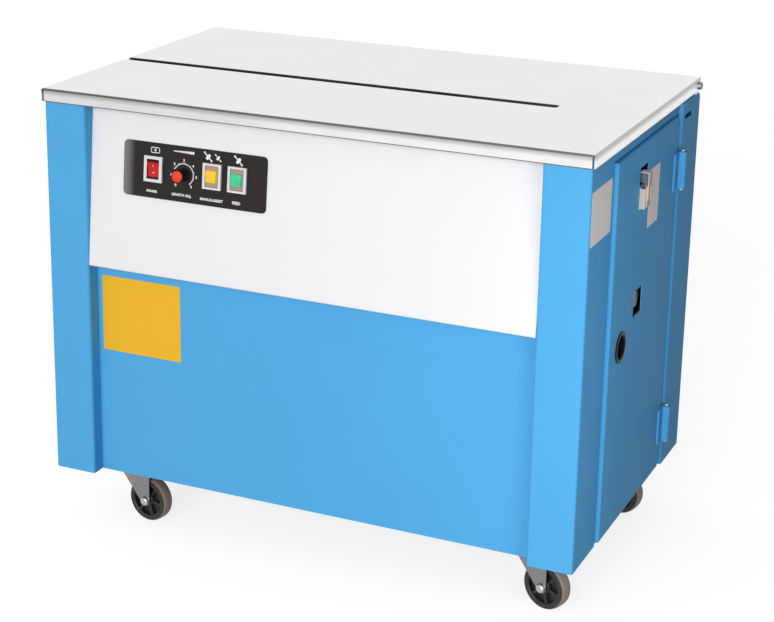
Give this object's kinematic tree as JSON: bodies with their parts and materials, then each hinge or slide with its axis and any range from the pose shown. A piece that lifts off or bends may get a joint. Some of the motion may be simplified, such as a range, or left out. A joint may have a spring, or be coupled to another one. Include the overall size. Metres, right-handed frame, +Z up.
{
  "type": "semi automatic strapping machine",
  "caption": "Table-height strapping machine: folded steel cabinet on swivel casters, hinged stainless table with a strap slot, sloped control panel, latched side door, reel and strapping head.",
  "frame": {"origin": "on the floor, under the middle of the machine", "axes": "+X along the table's length to the right, +Y from the operator's side to the back, +Z up"},
  "size_m": [0.916, 0.5657, 0.735],
  "materials": {
    "blue_powder_coat": "semi-gloss fine texture",
    "white_powder_coat": "semi-gloss fine texture",
    "brushed_stainless_sheet": "fine brushed",
    "zinc_plated_steel": "bright zinc",
    "bright_chrome": "polished",
    "blackened_steel": "oiled black oxide",
    "black_abs": "semi-gloss",
    "black_overlay_film": "satin",
    "light_grey_abs": "satin",
    "red_polycarbonate": "gloss",
    "yellow_polycarbonate": "gloss",
    "green_polycarbonate": "gloss",
    "dark_rubber": "matt",
    "grey_motor_paint": "semi-gloss",
    "polypropylene_strap": "satin",
    "white_nylon": "satin",
    "polyurethane_tyre": "satin"
  },
  "bodies": {
    "cabinet": {"base_tray": "blue_powder_coat", "top_frame": "blue_powder_coat", "front_post_left": "blue_powder_coat", "rear_post_left": "blue_powder_coat", "front_post_right": "blue_powder_coat", "rear_post_right": "blue_powder_coat", "left_side_panel": "blue_powder_coat", "rear_panel": "blue_powder_coat", "lower_front_panel": "blue_powder_coat", "hinge_frame_leaf_upper": "blue_powder_coat", "hinge_frame_leaf_lower": "blue_powder_coat", "mechanism_shelf": "blue_powder_coat", "upper_front_panel": "white_powder_coat", "cable_gland": "black_abs", "table_pivot_left": "zinc_plated_steel", "table_pivot_right": "zinc_plated_steel", "door_catch": "zinc_plated_steel", "reel_bracket": "blackened_steel", "head_frame": "blackened_steel", "control_fascia": "black_overlay_film", "power_bezel": "light_grey_abs", "reset_bezel": "light_grey_abs", "feed_bezel": "light_grey_abs", "control_box": "light_grey_abs", "caster_plate_front_left": "zinc_plated_steel", "caster_plate_rear_left": "zinc_plated_steel", "caster_plate_front_right": "zinc_plated_steel", "caster_plate_rear_right": "zinc_plated_steel", "drive_motor": "grey_motor_paint"},
    "table": {"table_top": "brushed_stainless_sheet", "strap_channel": "blackened_steel"},
    "door": {"side_door": "blue_powder_coat", "door_finger_cup": "black_abs", "hinge_door_leaf_upper": "blue_powder_coat", "hinge_door_leaf_lower": "blue_powder_coat", "latch_base": "bright_chrome"},
    "latch_lever_body": {"latch_lever": "bright_chrome"},
    "latch_claw_body": {"latch_claw": "bright_chrome"},
    "rocker": {"power_rocker": "red_polycarbonate"},
    "knob": {"length_knob": "black_abs"},
    "reset": {"reset_button": "yellow_polycarbonate"},
    "feed": {"feed_button": "green_polycarbonate"},
    "reel": {"reel_hub": "blackened_steel", "reel_outer_disc": "zinc_plated_steel", "strap_coil": "polypropylene_strap", "reel_nut": "white_nylon"},
    "cams": {"camshaft": "zinc_plated_steel"},
    "press": {"seal_press": "blackened_steel"},
    "heater": {"heater_blade": "zinc_plated_steel"},
    "anvil": {"slide_anvil": "blackened_steel"},
    "feed_wheel": {"feed_roller": "polyurethane_tyre"},
    "pinch_wheel": {"pinch_roller": "zinc_plated_steel"},
    "swivel_front_left": {"caster_fork_front_left": "zinc_plated_steel"},
    "wheel_front_left": {"caster_wheel_front_left": "dark_rubber"},
    "swivel_rear_left": {"caster_fork_rear_left": "zinc_plated_steel"},
    "wheel_rear_left": {"caster_wheel_rear_left": "dark_rubber"},
    "swivel_front_right": {"caster_fork_front_right": "zinc_plated_steel"},
    "wheel_front_right": {"caster_wheel_front_right": "dark_rubber"},
    "swivel_rear_right": {"caster_fork_rear_right": "zinc_plated_steel"},
    "wheel_rear_right": {"caster_wheel_rear_right": "dark_rubber"}
  },
  "joints": [
    {"name": "table_hinge", "type": "hinge", "parent": "cabinet", "child": "table", "pos_m": [0, 0.264, 0.724], "axis": [-1, 0, 0], "range_deg": [0, 80]},
    {"name": "door_hinge", "type": "hinge", "parent": "cabinet", "child": "door", "pos_m": [0.4564, 0.156, 0.4], "axis": [0, 0, 1], "range_deg": [0, 120]},
    {"name": "latch_lever_pivot", "type": "hinge", "parent": "door", "child": "latch_lever_body", "pos_m": [0.4556, -0.045, 0.627], "axis": [0, -1, 0], "range_deg": [0, 120]},
    {"name": "latch_claw_pivot", "type": "hinge", "parent": "latch_lever_body", "child": "latch_claw_body", "pos_m": [0.4579, -0.045, 0.616], "axis": [0, -1, 0], "range_deg": [-120, 0]},
    {"name": "power_rocker_tilt", "type": "hinge", "parent": "cabinet", "child": "rocker", "pos_m": [-0.2577, -0.26114, 0.62458], "axis": [1, 0, 0], "range_deg": [-16, 0]},
    {"name": "length_knob_turn", "type": "hinge", "parent": "cabinet", "child": "knob", "pos_m": [-0.2059, -0.26141, 0.6217], "axis": [0, -0.9958, 0.0917], "range_deg": [0, 270]},
    {"name": "reset_button_press", "type": "slide", "parent": "cabinet", "child": "reset", "axis": [0, 0.9958, -0.0917], "range_m": [0, 0.003], "stiffness_N_per_m": 250},
    {"name": "feed_button_press", "type": "slide", "parent": "cabinet", "child": "feed", "axis": [0, 0.9958, -0.0917], "range_m": [0, 0.003], "stiffness_N_per_m": 250},
    {"name": "swivel_turn_front_left", "type": "hinge", "parent": "cabinet", "child": "swivel_front_left", "pos_m": [-0.337, -0.197, 0.09], "axis": [0, 0, 1], "continuous": true},
    {"name": "wheel_spin_front_left", "type": "hinge", "parent": "swivel_front_left", "child": "wheel_front_left", "pos_m": [-0.31132, -0.20107, 0.0375], "axis": [0.1564, 0.9877, 0], "continuous": true},
    {"name": "swivel_turn_rear_left", "type": "hinge", "parent": "cabinet", "child": "swivel_rear_left", "pos_m": [-0.337, 0.177, 0.09], "axis": [0, 0, 1], "continuous": true},
    {"name": "wheel_spin_rear_left", "type": "hinge", "parent": "swivel_rear_left", "child": "wheel_rear_left", "pos_m": [-0.31114, 0.17428, 0.0375], "axis": [0.1045, 0.9945, 0], "continuous": true},
    {"name": "swivel_turn_front_right", "type": "hinge", "parent": "cabinet", "child": "swivel_front_right", "pos_m": [0.358, -0.197, 0.09], "axis": [0, 0, 1], "continuous": true},
    {"name": "wheel_spin_front_right", "type": "hinge", "parent": "swivel_front_right", "child": "wheel_front_right", "pos_m": [0.38286, -0.2046, 0.0375], "axis": [0.2924, 0.9563, 0], "continuous": true},
    {"name": "swivel_turn_rear_right", "type": "hinge", "parent": "cabinet", "child": "swivel_rear_right", "pos_m": [0.358, 0.177, 0.09], "axis": [0, 0, 1], "continuous": true},
    {"name": "wheel_spin_rear_right", "type": "hinge", "parent": "swivel_rear_right", "child": "wheel_rear_right", "pos_m": [0.3836, 0.17248, 0.0375], "axis": [0.1736, 0.9848, 0], "continuous": true},
    {"name": "reel_spin", "type": "hinge", "parent": "cabinet", "child": "reel", "pos_m": [0.338, 0, 0.441], "axis": [1, 0, 0], "continuous": true},
    {"name": "camshaft_turn", "type": "hinge", "parent": "cabinet", "child": "cams", "pos_m": [0.2325, -0.0265, 0.62], "axis": [1, 0, 0], "continuous": true},
    {"name": "seal_press_lift", "type": "slide", "parent": "cabinet", "child": "press", "axis": [0, 0, 1], "range_m": [-0.008, 0]},
    {"name": "heater_blade_slide", "type": "slide", "parent": "cabinet", "child": "heater", "axis": [0, -1, 0], "range_m": [0, 0.03]},
    {"name": "anvil_slide", "type": "slide", "parent": "cabinet", "child": "anvil", "axis": [0, 1, 0], "range_m": [0, 0.028]},
    {"name": "feed_roller_turn", "type": "hinge", "parent": "cabinet", "child": "feed_wheel", "pos_m": [0.288, -0.0741, 0.5633], "axis": [0, 1, 0], "continuous": true},
    {"name": "pinch_roller_turn", "type": "hinge", "parent": "cabinet", "child": "pinch_wheel", "pos_m": [0.288, -0.0741, 0.5958], "axis": [0, 1, 0], "continuous": true}
  ],
  "couplings": [
    {"joint": "latch_claw_pivot", "follows": "latch_lever_pivot", "ratio": -1},
    {"joint": "pinch_roller_turn", "follows": "feed_roller_turn", "ratio": -1.2857}
  ]
}
